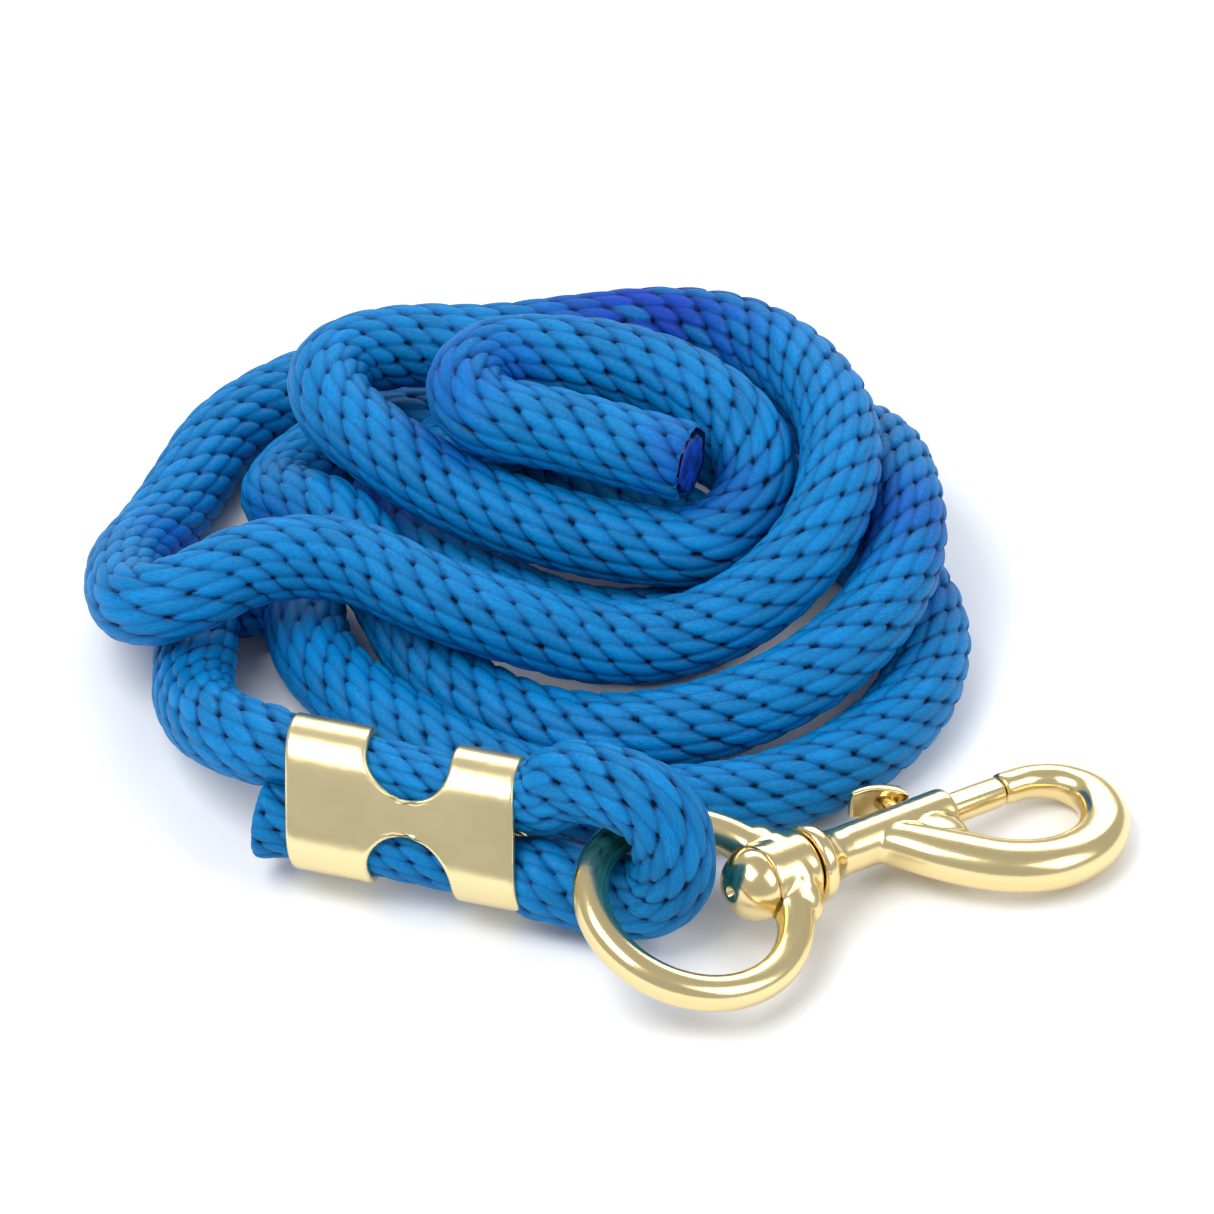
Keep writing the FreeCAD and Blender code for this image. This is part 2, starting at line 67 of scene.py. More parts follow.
# ---------------------------------------------------------------- rope line
CORE_RADIUS = 0.0056
ROPE_ROUTE = [
    # tail, lower strand in the clamp, round the ring, upper strand in the clamp
    (-62.7, -46.6, 11.6), (-38.7, -53.8, 12.0), (-14.0, -61.6, 10.6), (11.3, -68.1, 8.2),
    (11.3, -68.1, 32.4), (-7.0, -57.2, 31.1), (-12.5, -55.5, 22.6), (-36.3, -48.1, 22.0),
    (-57.3, -41.0, 22.3),
    # hairpin on the left, front of the floor turn, right side, up over the back
    (-70.0, -31.0, 18.5), (-75.5, -16.0, 12.0), (-75.5, 2.0, 8.0), (-74.5, 20.0, 8.0),
    (-55.8, 20.0, 8.0), (-54.8, 2.0, 9.5), (-46.0, -13.5, 11.0), (-29.5, -28.0, 10.5),
    (-11.0, -37.0, 8.5), (8.0, -40.0, 8.0), (27.0, -37.0, 8.0), (43.0, -27.0, 8.0),
    (54.5, -12.0, 8.0), (58.5, 5.0, 8.0), (56.0, 20.0, 8.0), (46.0, 33.0, 8.0),
    (35.0, 42.5, 9.0), (22.0, 51.0, 16.0), (6.0, 55.0, 23.8), (-9.0, 54.0, 24.3),
    (-20.0, 51.5, 20.5),
    # small turn back under the hump, inner floor turn, left bend
    (-35.5, 50.5, 13.0), (-41.3, 44.8, 9.0), (-41.3, 36.5, 8.0), (-33.0, 29.0, 8.0),
    (-22.0, 20.5, 8.0), (-8.0, 11.5, 8.0), (7.0, 9.5, 8.0), (18.0, 15.0, 8.0),
    (21.0, 28.0, 8.0), (13.0, 40.0, 8.0), (-1.0, 50.0, 8.0), (-14.0, 61.0, 8.0),
    (-27.0, 69.0, 8.0), (-41.0, 67.5, 8.0), (-53.0, 60.5, 8.0), (-60.5, 50.0, 8.3),
    (-60.0, 39.0, 13.5),
    # second strand of the front, right side on top of the first, outer floor lane at the back
    (-49.5, 28.5, 19.5), (-41.0, 15.0, 15.2), (-34.0, 1.0, 9.5), (-25.5, -10.5, 8.5),
    (-12.0, -19.5, 9.0), (4.0, -23.5, 11.0), (22.0, -21.5, 14.5), (38.0, -14.0, 19.0),
    (49.0, -1.0, 22.0), (54.2, 15.0, 23.8), (53.0, 31.0, 24.0), (50.0, 46.0, 20.5),
    (42.0, 60.0, 13.0), (30.0, 73.0, 9.0), (12.0, 82.0, 8.0), (-8.0, 86.0, 8.0),
    (-28.0, 88.0, 8.0), (-46.0, 85.0, 8.0), (-61.0, 76.0, 8.0), (-72.0, 65.0, 8.0),
    (-77.5, 50.0, 8.0), (-83.0, 36.0, 8.8),
    # left bend, third strand of the front, right side, back of the upper turn
    (-87.8, 23.0, 13.2), (-88.4, 10.0, 18.0), (-86.3, -1.0, 22.5), (-77.0, -3.0, 26.8),
    (-64.5, 6.0, 28.3), (-47.5, 7.0, 28.3), (-32.0, -2.5, 26.0), (-17.0, -7.0, 23.8),
    (-2.0, -8.0, 19.5), (14.0, -7.0, 20.5), (28.0, -2.0, 26.0), (38.0, 8.0, 32.0),
    (42.0, 22.0, 35.0), (41.5, 38.0, 35.0), (36.0, 53.0, 33.0), (26.0, 66.0, 31.0),
    (11.0, 73.0, 28.0), (-6.0, 71.5, 27.0), (-22.0, 68.0, 27.0),
    # hump on the left and the upper inner turn
    (-38.0, 69.0, 27.0), (-51.0, 63.0, 28.0), (-52.0, 50.0, 29.0), (-43.0, 38.5, 28.5),
    (-29.0, 28.0, 25.5), (-12.0, 20.0, 24.0), (5.0, 15.5, 23.5), (18.5, 14.0, 24.5),
    (27.5, 23.0, 28.5), (25.0, 36.0, 34.5), (12.0, 45.0, 38.0), (-0.5, 48.8, 39.6),
    # hairpin on top and the free end
    (-11.5, 50.0, 39.8), (-20.5, 49.7, 39.8), (-25.6, 44.8, 39.8), (-26.2, 37.7, 40.0),
    (-22.1, 31.9, 40.0), (-11.4, 29.3, 40.0), (2.0, 24.5, 39.6), (14.5, 19.0, 40.0),
]


def rope_curve(name, bevel, steps):
    data = bpy.data.curves.new(name, "CURVE")
    data.dimensions = "3D"
    spline = data.splines.new("NURBS")
    spline.points.add(len(ROPE_ROUTE) - 1)
    for point, place in zip(spline.points, ROPE_ROUTE):
        point.co = (place[0] * MM, place[1] * MM, place[2] * MM, 1)
    spline.order_u = 3
    spline.use_endpoint_u = True
    spline.resolution_u = steps
    data.resolution_u = steps
    data.bevel_depth = bevel
    data.bevel_resolution = 3
    data.use_fill_caps = bevel > 0
    obj = bpy.data.objects.new(name, data)
    scene.collection.objects.link(obj)
    return obj


def read_line():
    """Points along the rope's own line, and the length of rope up to each."""
    ruler = rope_curve("rope_ruler", 0.0, 16)
    bpy.context.view_layer.update()
    mesh = bpy.data.meshes.new_from_object(ruler)
    points = np.array([v.co for v in mesh.vertices], float)
    bpy.data.objects.remove(ruler)
    bpy.data.meshes.remove(mesh)
    steps = np.linalg.norm(np.diff(points, axis=0), axis=1)
    keep = np.concatenate([[True], steps > 1e-9])
    points = points[keep]
    run = np.concatenate([[0.0], np.cumsum(np.linalg.norm(np.diff(points, axis=0), axis=1))])
    return points, run


LINE, RUN = read_line()
ROPE_LENGTH = float(RUN[-1])


def line_at(s):
    return np.stack([np.interp(s, RUN, LINE[:, i]) for i in range(3)], axis=1)


def unit(v):
    return v / np.maximum(np.linalg.norm(v, axis=-1, keepdims=True), 1e-12)


def carried_frames(centres):
    """A tangent and two cross directions at each centre, carried along with no twist."""
    tangent = unit(np.gradient(centres, axis=0))
    side = np.zeros_like(tangent)
    first = np.cross(tangent[0], (0, 0, 1.0))
    side[0] = first / np.linalg.norm(first)
    for i in range(1, len(tangent)):
        v = side[i - 1] - tangent[i] * (side[i - 1] @ tangent[i])
        side[i] = v / np.linalg.norm(v)
    return tangent, side, np.cross(tangent, side)


# ---------------------------------------------------------------- small helpers
def new_object(name, mesh):
    obj = bpy.data.objects.new(name, mesh)
    scene.collection.objects.link(obj)
    return obj


def smooth(mesh):
    mesh.polygons.foreach_set("use_smooth", [True] * len(mesh.polygons))


def rounded(obj, width, segments, degrees):
    """Rounds the edges sharper than the angle; the width is in millimetres."""
    edge = obj.modifiers.new("rounded", "BEVEL")
    edge.width = width * MM
    edge.segments = segments
    edge.limit_method = "ANGLE"
    edge.angle_limit = math.radians(degrees)
    return edge


def skin(bm, one, two):
    """Faces between two rings with as many points."""
    for k in range(len(one)):
        n = (k + 1) % len(one)
        bm.faces.new((one[k], one[n], two[n], two[k]))


def linear(r, g, b):
    def one(c):
        c = c / 255
        return c / 12.92 if c <= 0.04045 else ((c + 0.055) / 1.055) ** 2.4
    return (one(r), one(g), one(b), 1.0)


# ---------------------------------------------------------------- materials
def nodes_of(name):
    material = bpy.data.materials.new(name)
    material.use_nodes = True
    tree = material.node_tree
    shader = tree.nodes["Principled BSDF"]
    return material, tree.nodes, tree.links, shader


def maths(nodes, operation, second=None):
    node = nodes.new("ShaderNodeMath")
    node.operation = operation
    if second is not None:
        node.inputs[1].default_value = second
    return node


def noise(nodes, links, source, scale, detail):
    node = nodes.new("ShaderNodeTexNoise")
    node.inputs["Scale"].default_value = scale
    node.inputs["Detail"].default_value = detail
    links.new(source, node.inputs["Vector"])
    return node


def add_bump(nodes, links, shader, height, strength, distance):
    node = nodes.new("ShaderNodeBump")
    node.inputs["Strength"].default_value = strength
    node.inputs["Distance"].default_value = distance
    links.new(height, node.inputs["Height"])
    links.new(node.outputs[0], shader.inputs["Normal"])


def rope_material(name, deep=False):
    material, nodes, links, shader = nodes_of(name)
    shader.inputs["Roughness"].default_value = 0.5
    shader.inputs["Specular IOR Level"].default_value = 0.16
    # the hidden core gets a flat dark painted shade, so where it shows between the stitches it reads as shade
    # deep in the rope
    if deep:
        shader.inputs["Base Color"].default_value = linear(2, 20, 60)
        shader.inputs["Roughness"].default_value = 0.7
        return material
    stitch = nodes.new("ShaderNodeAttribute")
    stitch.attribute_name = "stitch"
    shape = nodes.new("ShaderNodeAttribute")
    shape.attribute_name = "relief"
    split = nodes.new("ShaderNodeSeparateXYZ")
    links.new(stitch.outputs["Vector"], split.inputs[0])
    relief = nodes.new("ShaderNodeSeparateXYZ")
    links.new(shape.outputs["Vector"], relief.inputs[0])

    stretch = nodes.new("ShaderNodeCombineXYZ")
    along = maths(nodes, "MULTIPLY", 0.22)
    links.new(split.outputs[0], along.inputs[0])
    links.new(along.outputs[0], stretch.inputs[0])
    links.new(split.outputs[1], stretch.inputs[1])
    shift = maths(nodes, "MULTIPLY", 37.0)
    links.new(split.outputs[2], shift.inputs[0])
    links.new(shift.outputs[0], stretch.inputs[2])

    fibre = noise(nodes, links, stretch.outputs[0], 5.5, 3.0)
    fibre.inputs["Roughness"].default_value = 0.6

    # painted shade: the colour darkens with the stitch height, from the crowns down into the valleys between
    # the stitches
    shade = nodes.new("ShaderNodeValToRGB")
    ramp = shade.color_ramp
    ramp.elements[0].position = 0.05
    ramp.elements[0].color = linear(0, 8, 34)
    ramp.elements[1].position = 0.92
    ramp.elements[1].color = linear(0, 120, 186)
    middle = ramp.elements.new(0.42)
    middle.color = linear(0, 88, 150)
    links.new(relief.outputs[0], shade.inputs[0])

    # the deeper blue places, with the same painted shade into the valleys
    royal = nodes.new("ShaderNodeValToRGB")
    ramp = royal.color_ramp
    ramp.elements[0].position = 0.05
    ramp.elements[0].color = linear(2, 8, 54)
    ramp.elements[1].position = 0.92
    ramp.elements[1].color = linear(4, 62, 170)
    links.new(relief.outputs[0], royal.inputs[0])

    blend = nodes.new("ShaderNodeMix")
    blend.data_type = "RGBA"
    links.new(relief.outputs[1], blend.inputs["Factor"])
    links.new(shade.outputs[0], blend.inputs["A"])
    links.new(royal.outputs[0], blend.inputs["B"])

    streak = nodes.new("ShaderNodeMapRange")
    streak.inputs["From Min"].default_value = 0.3
    streak.inputs["From Max"].default_value = 0.72
    streak.inputs["To Min"].default_value = 0.66
    streak.inputs["To Max"].default_value = 1.30
    links.new(fibre.outputs["Fac"], streak.inputs["Value"])
    tone = nodes.new("ShaderNodeMapRange")
    tone.inputs["To Min"].default_value = 0.86
    tone.inputs["To Max"].default_value = 1.12
    links.new(split.outputs[2], tone.inputs["Value"])
    product = maths(nodes, "MULTIPLY")
    links.new(streak.outputs[0], product.inputs[0])
    links.new(tone.outputs[0], product.inputs[1])
    colour = nodes.new("ShaderNodeVectorMath")
    colour.operation = "SCALE"
    links.new(blend.outputs["Result"], colour.inputs[0])
    links.new(product.outputs[0], colour.inputs["Scale"])
    links.new(colour.outputs[0], shader.inputs["Base Color"])

    add_bump(nodes, links, shader, fibre.outputs["Fac"], 0.55, 0.00016)
    return material


def metal_material(name, colour, roughness, grain):
    material, nodes, links, shader = nodes_of(name)
    shader.inputs["Metallic"].default_value = 1.0
    shader.inputs["Base Color"].default_value = colour
    shader.inputs["Roughness"].default_value = roughness
    place = nodes.new("ShaderNodeTexCoord")
    wear = noise(nodes, links, place.outputs["Object"], 90.0, 4.0)
    rough = nodes.new("ShaderNodeMapRange")
    rough.inputs["To Min"].default_value = roughness * 0.75
    rough.inputs["To Max"].default_value = roughness * 1.35
    links.new(wear.outputs["Fac"], rough.inputs["Value"])
    links.new(rough.outputs[0], shader.inputs["Roughness"])
    ripple = noise(nodes, links, place.outputs["Object"], 260.0, 2.0)
    add_bump(nodes, links, shader, ripple.outputs["Fac"], grain, 0.0003)
    return material


ROPE = rope_material("rope_braid")
# a flat dark painted shade for the hidden core of the rope
ROPE_CORE_PAINTED_SHADE = rope_material("rope_core", deep=True)
SNAP = metal_material("snap_brass", linear(238, 216, 160), 0.19, 0.08)
CLAMP = metal_material("clamp_brass", linear(240, 222, 170), 0.27, 0.30)
STEEL = metal_material("spring_steel", (0.55, 0.55, 0.56, 1), 0.3, 0.05)

# ---------------------------------------------------------------- rope core
core = rope_curve("rope_core", CORE_RADIUS, 8)
core.data.materials.append(ROPE_CORE_PAINTED_SHADE)
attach(core, "rope")

# ---------------------------------------------------------------- braid
COLUMNS = 14
STITCH_PITCH = 6.3
STITCH_HALF = 4.5
STITCH_WIDE = 1.95
STITCH_SLANT = math.radians(19)
VALLEY = 6.35
STITCH_HIGH = 1.32
STITCH_RADIUS = 7.4
TWIST_LENGTH = 0.95
CUT_ROUNDING = 0.0022
FLOOR_CLEAR = 0.0002
CLAMPED_LENGTH = 0.19
SQUEEZE = 0.16
ROUND = 140
STEP = 0.46
SQUEEZE_MIDDLE = (-36.8, -51.2, 17.0)
SQUEEZE_ALONG = (0.957, -0.291, 0.0)
SQUEEZE_REACH = 27.0
SQUEEZE_EASE = 7.0
WANDER_HEIGHT = 0.10
WANDER_LENGTH = 31.0
CUT_DRAWN_IN = 0.10
SLIP_ALONG = 0.35
SLIP_ROUND = 0.22
SLANT_SPREAD = 0.10
ROYAL_FADE = 1.35
ROYAL_SPOTS = [
    # middle and reach of the deeper blue places, in mm
    ((-70, 22, 10), 16), ((-42, 42, 10), 14), ((-24, 40, 36), 13), ((8, 72, 30), 24),
    ((22, 22, 26), 10), ((50, 18, 22), 13), ((14, 19, 40), 9),
]


def leaf_noise(number):
    value = np.sin(number * 12.9898 + 4.1) * 43758.5453
    return value - np.floor(value)


def braid_relief(s, w, girth):
    """Height of the stitches and where a point lies on its own stitch. s along, w around, mm."""
    wide = girth / COLUMNS
    column = np.floor(w / wide)
    best = np.full(s.shape, 0.0)
    best_a = np.zeros(s.shape)
    best_b = np.zeros(s.shape)
    best_id = np.zeros(s.shape)
    for dc in (-1, 0, 1):
        c = column + dc
        ring = np.mod(c, COLUMNS)
        offset = np.mod(ring, 2) * 0.5 + 0.04 * np.sin(ring * 2.4)
        row = np.round(s / STITCH_PITCH - offset)
        for dr in (-1, 0, 1):
            r = row + dr
            number = r * 17.0 + ring * 1.37
            luck = leaf_noise(number)
            luck2 = leaf_noise(number + 7.7)
            ds = s - (r + offset) * STITCH_PITCH - (luck - 0.5) * SLIP_ALONG
            dw = w - (c + 0.5) * wide - (luck2 - 0.5) * SLIP_ROUND
            slant = STITCH_SLANT + (luck2 - 0.5) * SLANT_SPREAD
            a = ds * np.cos(slant) + dw * np.sin(slant)
            b = -ds * np.sin(slant) + dw * np.cos(slant)
            share = np.clip(1 - (a / STITCH_HALF) ** 2, 0, 1)
            half = STITCH_WIDE * (0.92 + 0.16 * luck) * share ** 0.62 + 1e-6
            cross = np.clip(1 - (b / half) ** 2, 0, 1)
            high = np.sqrt(cross) * (0.50 + 0.50 * share ** 0.55) - 0.16 * (a / STITCH_HALF) - 0.05 * luck
            high = np.where((share > 0) & (cross > 0), high, 0)
            take = high > best
            best = np.where(take, high, best)
            best_a = np.where(take, a, best_a)
            best_b = np.where(take, b, best_b)
            best_id = np.where(take, luck, best_id)
    return np.clip(best, 0, 1.08), best_a, best_b, best_id


def make_braid():
    count = int(ROPE_LENGTH / (STEP * MM))
    s = np.linspace(0, ROPE_LENGTH, count)
    centres = line_at(s)
    # a short average takes the facets out of the sampled line
    window = np.array([1, 2, 3, 2, 1]) / 9.0
    padded = np.vstack([centres[:1]] * 2 + [centres] + [centres[-1:]] * 2)
    soft = np.stack([np.convolve(padded[:, i], window, "valid") for i in range(3)], axis=1)
    soft[0] = centres[0]
    soft[-1] = centres[-1]
    centres = soft
    tangent, side, up = carried_frames(centres)
    girth = 2 * math.pi * STITCH_RADIUS
    angle = np.linspace(0, 2 * math.pi, ROUND, endpoint=False)
    turn = s[:, None] / TWIST_LENGTH * 2 * math.pi
    s_mm = np.repeat((s / MM)[:, None], ROUND, axis=1)
    w_mm = np.repeat((angle / (2 * math.pi) * girth)[None, :], count, axis=0)
    high, a, b, ident = braid_relief(s_mm, w_mm, girth)
    # the cut ends are drawn in and rounded where the rope was melted
    end = np.minimum(s, ROPE_LENGTH - s)[:, None] / CUT_ROUNDING
    shut = np.sqrt(np.clip(1 - (1 - np.clip(end, 0, 1)) ** 2, 0, 1))
    radius = (VALLEY + STITCH_HIGH * high + WANDER_HEIGHT * np.sin(s_mm / WANDER_LENGTH)) * MM
    radius = radius * (1 - CUT_DRAWN_IN + CUT_DRAWN_IN * shut)
    # the clamp squeezes both strands
    from_clamp = (centres / MM - np.array(SQUEEZE_MIDDLE)) @ np.array(SQUEEZE_ALONG)
    held = np.clip((SQUEEZE_REACH - np.abs(from_clamp)) / SQUEEZE_EASE, 0, 1) * (s < CLAMPED_LENGTH)
    held = held * held * (3 - 2 * held)
    radius = radius * (1 - SQUEEZE * held[:, None])
    around = angle[None, :] + turn
    outward = np.cos(around)[..., None] * side[:, None] + np.sin(around)[..., None] * up[:, None]
    points = centres[:, None] + outward * radius[..., None]
    points[..., 2] = np.maximum(points[..., 2], FLOOR_CLEAR)

    royal = np.zeros((count, ROUND))
    for place, reach in ROYAL_SPOTS:
        gap = np.linalg.norm(points / MM - np.array(place, float), axis=2)
        royal = np.maximum(royal, np.clip(ROYAL_FADE - gap / reach, 0, 1))
    royal = royal * (0.35 + 0.65 * (ident > 0.25))

    d_along = np.gradient(points, axis=0)
    d_round = np.roll(points, -1, axis=1) - np.roll(points, 1, axis=1)
    normals = unit(np.cross(d_round, d_along))
    flip = np.sum(normals * outward, axis=2) < 0
    normals[flip] *= -1

    pieces = 7
    edges = np.linspace(0, count - 1, pieces + 1).astype(int)
    made = []
    for number in range(pieces):
        low, high_row = edges[number], edges[number + 1]
        rows = high_row - low + 1
        verts = points[low:high_row + 1].reshape(-1, 3)
        i = np.arange(rows - 1)[:, None] * ROUND
        j = np.arange(ROUND)[None, :]
        k = (j + 1) % ROUND
        quads = np.stack([i + j, i + k, i + ROUND + k, i + ROUND + j], axis=2).reshape(-1, 4)
        faces = quads.tolist()
        mesh = bpy.data.meshes.new("rope_braid_%d" % (number + 1))
        mesh.from_pydata(verts.tolist(), [], faces)
        mesh.update()
        stitch = mesh.attributes.new("stitch", "FLOAT_VECTOR", "POINT")
        data = np.stack([a, b, ident], axis=2)[low:high_row + 1].reshape(-1)
        stitch.data.foreach_set("vector", data.astype(np.float32))
        # the stitch height, which also sets the painted shade in the valleys, and the deeper blue places
        relief = mesh.attributes.new("relief", "FLOAT_VECTOR", "POINT")
        data = np.stack([high, royal, np.zeros_like(high)], axis=2)[low:high_row + 1].reshape(-1)
        relief.data.foreach_set("vector", data.astype(np.float32))
        smooth(mesh)
        own = normals[low:high_row + 1].reshape(-1, 3)
        sample = mesh.polygons[len(mesh.polygons) // 2]
        if Vector(sample.normal).dot(Vector(own[sample.vertices[0]])) < 0:
            mesh.flip_normals()
        mesh.normals_split_custom_set_from_vertices(own.tolist())
        mesh.materials.append(ROPE)
        obj = new_object("rope_braid_%d" % (number + 1), mesh)
        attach(obj, "rope")
        made.append(obj)
    return made, centres, tangent, side, up


braid, CENTRES, TANGENT, SIDE, UP = make_braid()


# ---------------------------------------------------------------- melted ends of the rope
CUT_RADIUS = 0.00585
CUT_DOME = 0.0006


def end_material(name, colour, rim):
    material, nodes, links, shader = nodes_of(name)
    place = nodes.new("ShaderNodeTexCoord")
    lump = noise(nodes, links, place.outputs["Object"], 420.0, 4.0)
    ramp = nodes.new("ShaderNodeValToRGB")
    ramp.color_ramp.elements[0].position = 0.35
    ramp.color_ramp.elements[0].color = rim
    ramp.color_ramp.elements[1].position = 0.62
    ramp.color_ramp.elements[1].color = colour
    links.new(lump.outputs["Fac"], ramp.inputs[0])
    links.new(ramp.outputs[0], shader.inputs["Base Color"])
    add_bump(nodes, links, shader, lump.outputs["Fac"], 0.8, 0.0006)
    shader.inputs["Roughness"].default_value = 0.35
    return material


def rope_end(name, index, ahead, material):
    """A shallow melted dome over the cut."""
    centre = CENTRES[index]
    side, up = SIDE[index], UP[index]
    mesh = bpy.data.meshes.new(name)
    bm = bmesh.new()
    rings, around = 9, 48
    loops = []
    for r in range(1, rings + 1):
        t = r / rings
        loop = []
        for k in range(around):
            angle = 2 * math.pi * k / around
            lump = 1 + 0.035 * math.sin(5 * angle + 1.0) + 0.02 * math.sin(11 * angle)
            radius = CUT_RADIUS * t * lump
            rise = CUT_DOME * (1 - t ** 2) + 0.00012 * math.sin(9 * angle) * t
            rise = rise - 0.0012 * max(0.0, t - 0.88) / 0.12
            p = centre + (side * math.cos(angle) + up * math.sin(angle)) * radius + ahead * rise
            loop.append(bm.verts.new(p))
        loops.append(loop)
    middle = bm.verts.new(centre + ahead * CUT_DOME)
    for k in range(around):
        bm.faces.new((middle, loops[0][k], loops[0][(k + 1) % around]))
    for inner, outer in zip(loops, loops[1:]):
        for k in range(around):
            n = (k + 1) % around
            bm.faces.new((inner[k], outer[k], outer[n], inner[n]))
    bmesh.ops.recalc_face_normals(bm, faces=bm.faces)
    bm.to_mesh(mesh)
    bm.free()
    smooth(mesh)
    if Vector(mesh.polygons[0].normal).dot(Vector(ahead)) < 0:
        mesh.flip_normals()
    mesh.materials.append(material)
    obj = new_object(name, mesh)
    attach(obj, "rope")
    return obj


TAIL_CUT = end_material("tail_melt", linear(20, 52, 130), linear(26, 14, 58))
TOP_CUT = end_material("top_melt", linear(20, 66, 178), linear(8, 30, 104))
tail_end = rope_end("rope_tail_cut", 0, -TANGENT[0], TAIL_CUT)
top_end = rope_end("rope_top_cut", -1, TANGENT[-1], TOP_CUT)

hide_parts("rope_eye_end")
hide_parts("rope_coil")

# ---------------------------------------------------------------- clamp
CLAMP_LENGTH = 43.0
ARM_LEFT = 15.0
ARM_RIGHT = 12.5
BRIDGE_HALF = 3.4
CLAMP_OUT = 8.05
CLAMP_SKEW = -0.16
CLAMP_THICK = 1.75
CLAMP_ROUNDING = 0.78
CLAMP_X = -36.0
SEAM_HALF = 0.6
# the way both strands run in the clamp, and a point on each
strand = Vector((49.0, -14.9, 0)).normalized()
lower = Vector((-38.7, -53.8, 12.0))
upper = Vector((-36.3, -48.1, 22.0))
across = upper - lower
across = across - strand * across.dot(strand)
SPACING = across.length
across.normalize()
front = strand.cross(across)
clamp_mid = lower + across * (SPACING / 2)
clamp_mid = clamp_mid + strand * ((CLAMP_X - clamp_mid.x) / strand.x)


def round_strands(u, out):
    """Place and outward direction at run u round the two strands, 0 at the middle of the front."""
    half = SPACING / 2
    arc = math.pi * out
    sign = 1 if u >= 0 else -1
    u = abs(u)
    if u <= half:
        return Vector((sign * u, out)), Vector((0, 1))
    if u <= half + arc:
        angle = (u - half) / out
        away = Vector((math.sin(angle), math.cos(angle)))
        place = Vector((half, 0)) + away * out
        return Vector((sign * place.x, place.y)), Vector((sign * away.x, away.y))
    rest = u - half - arc
    return Vector((sign * (half - rest), -out)), Vector((0, -1))


def clamp_plate():
    """The folded plate: two arms and the bridge between them, with round-ended notches."""
    reach = SPACING / 2 + math.pi * CLAMP_OUT + SPACING / 2 - SEAM_HALF
    notch_low = -CLAMP_LENGTH / 2 + ARM_LEFT
    notch_high = CLAMP_LENGTH / 2 - ARM_RIGHT
    notch_mid = (notch_low + notch_high) / 2
    notch_half = (notch_high - notch_low) / 2
    fan = [BRIDGE_HALF + notch_half * (1 - math.cos(math.pi / 2 * k / 9)) for k in range(10)]
    straight = [fan[-1] + (reach - fan[-1]) * k / 44 for k in range(1, 45)]
    positive = [BRIDGE_HALF * k / 4 for k in range(1, 4)] + fan + straight
    lines = [-u for u in reversed(positive)] + [0.0] + positive
    corner = 3.2
    bm = bmesh.new()

    def edge_of(u):
        d = abs(u) - BRIDGE_HALF
        if d <= 0:
            return 0.0
        if d >= notch_half:
            return notch_half
        return math.sqrt(max(0.0, notch_half ** 2 - (notch_half - d) ** 2))

    def inset(u):
        d = reach - abs(u)
        if d >= corner:
            return 0.0
        return corner - math.sqrt(max(0.0, corner ** 2 - (corner - d) ** 2))

    def vert(u, v):
        place, away = round_strands(u, CLAMP_OUT)
        p = clamp_mid + across * place.x + front * place.y + strand * (v + CLAMP_SKEW * place.x)
        return bm.verts.new(p * MM)

    across_count = 10
    left_rows = []
    right_rows = []
    for u in lines:
        cut = edge_of(u)
        trim = inset(u)
        a0 = -CLAMP_LENGTH / 2 + trim
        a1 = notch_mid - cut - (trim if cut >= notch_half else 0)
        b0 = notch_mid + cut + (trim if cut >= notch_half else 0)
        b1 = CLAMP_LENGTH / 2 - trim
        left_rows.append([vert(u, a0 + (a1 - a0) * k / across_count) for k in range(across_count + 1)])
        right_rows.append([vert(u, b0 + (b1 - b0) * k / across_count) for k in range(across_count + 1)])
    for rows in (left_rows, right_rows):
        for one, two in zip(rows, rows[1:]):
            for k in range(across_count):
                bm.faces.new((one[k], one[k + 1], two[k + 1], two[k]))
    bmesh.ops.remove_doubles(bm, verts=bm.verts, dist=1e-6)
    bmesh.ops.recalc_face_normals(bm, faces=bm.faces)
    bm.normal_update()
    bm.faces.ensure_lookup_table()
    face = bm.faces[len(bm.faces) // 2]
    outward = face.calc_center_median() / MM - clamp_mid
    outward = outward - strand * outward.dot(strand)
    if face.normal.dot(outward) < 0:
        bmesh.ops.reverse_faces(bm, faces=bm.faces)
    mesh = bpy.data.meshes.new("rope_clamp_plate")
    bm.to_mesh(mesh)
    bm.free()
    smooth(mesh)
    mesh.materials.append(CLAMP)
    obj = new_object("rope_clamp_plate", mesh)
    thick = obj.modifiers.new("thickness", "SOLIDIFY")
    thick.thickness = CLAMP_THICK * MM
    thick.offset = -1
    thick.use_even_offset = True
    rounded(obj, CLAMP_ROUNDING, 4, 50).use_clamp_overlap = False
    return obj


clamp = clamp_plate()
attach(clamp, "rope")
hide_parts("rope_clamp")

# ---------------------------------------------------------------- snap, in its own frame
YAW, PITCH, ROLL, BAR_ANGLE = 37.2, 6.9, 17.5, 112.0
RING_RADIUS = 19.125
RING_BAR = 3.25
BAR_SEAT = Vector((-0.7, -64.7, 20.2))
CAST_VOXEL = 0.30 * 1
BOLT_FLAT_HALF = 2.35
SPRING_FROM = 31.9
SPRING_LENGTH = 14.0
SPRING_RADIUS = 2.3


def turned(yaw, pitch, roll):
    return (Matrix.Rotation(math.radians(yaw), 3, "Z") @ Matrix.Rotation(math.radians(pitch), 3, "Y")
            @ Matrix.Rotation(math.radians(roll), 3, "X"))


snap_turn = turned(YAW, PITCH, 0)
eye_turn = turned(YAW, PITCH, ROLL)
spoke = Vector((math.cos(math.radians(BAR_ANGLE)), math.sin(math.radians(BAR_ANGLE)), 0))
ring_centre = BAR_SEAT - eye_turn @ spoke * RING_RADIUS
SNAP_PLACE = Matrix.Translation(ring_centre) @ snap_turn.to_4x4()
EYE_PLACE = Matrix.Translation(ring_centre) @ eye_turn.to_4x4()


def set_down(bm, place):
    """From the snap's own millimetres to metres in the rope's frame."""
    bmesh.ops.transform(bm, matrix=Matrix.Scale(MM, 4) @ place, verts=bm.verts)


